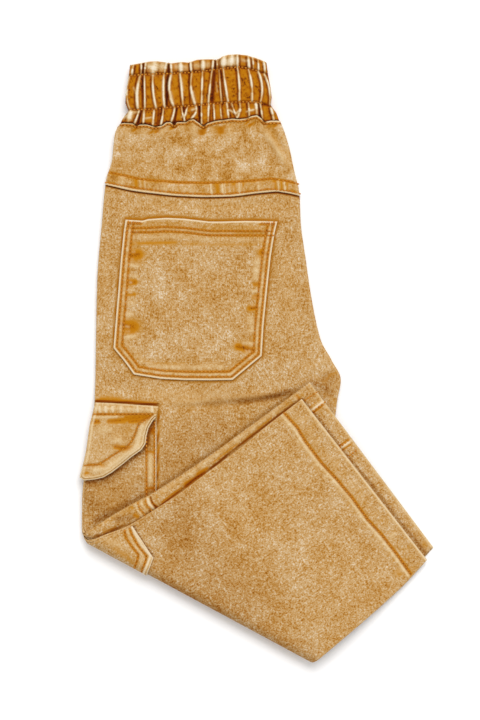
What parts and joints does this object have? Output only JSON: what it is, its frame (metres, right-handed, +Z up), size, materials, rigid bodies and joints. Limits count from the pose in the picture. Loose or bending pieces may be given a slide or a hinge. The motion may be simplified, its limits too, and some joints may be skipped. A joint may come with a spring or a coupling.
{
  "type": "kids jeans, folded flat",
  "caption": "Child's pull-on cargo jeans in tan washed denim, folded in half down the back and turned up across the knee, lying flat.",
  "frame": {"origin": "centre of the bounding box in plan, on the surface that the folded jeans lie on", "axes": "+Y towards the waistband, +X towards the seat and crotch side of the folded garment, +Z up from the surface"},
  "size_m": [0.2839, 0.4842, 0.0194],
  "materials": {
    "denim": "dry over-dyed, acid-washed stretch denim, pale on seams and ridges",
    "waistband": "the same denim gathered over elastic, deep mustard between pale ridges",
    "thread": "mustard sewing thread, matt"
  },
  "bodies": {
    "root": {"fronts": "denim", "left_back": "denim", "left_back_pocket": "denim", "left_cargo_flap": "denim", "left_cargo_pocket": "denim", "left_yoke": "denim", "right_back": "denim", "right_back_pocket": "denim", "right_cargo_flap": "denim", "right_cargo_pocket": "denim", "right_yoke": "denim", "waistband": "waistband"}
  },
  "joints": []
}
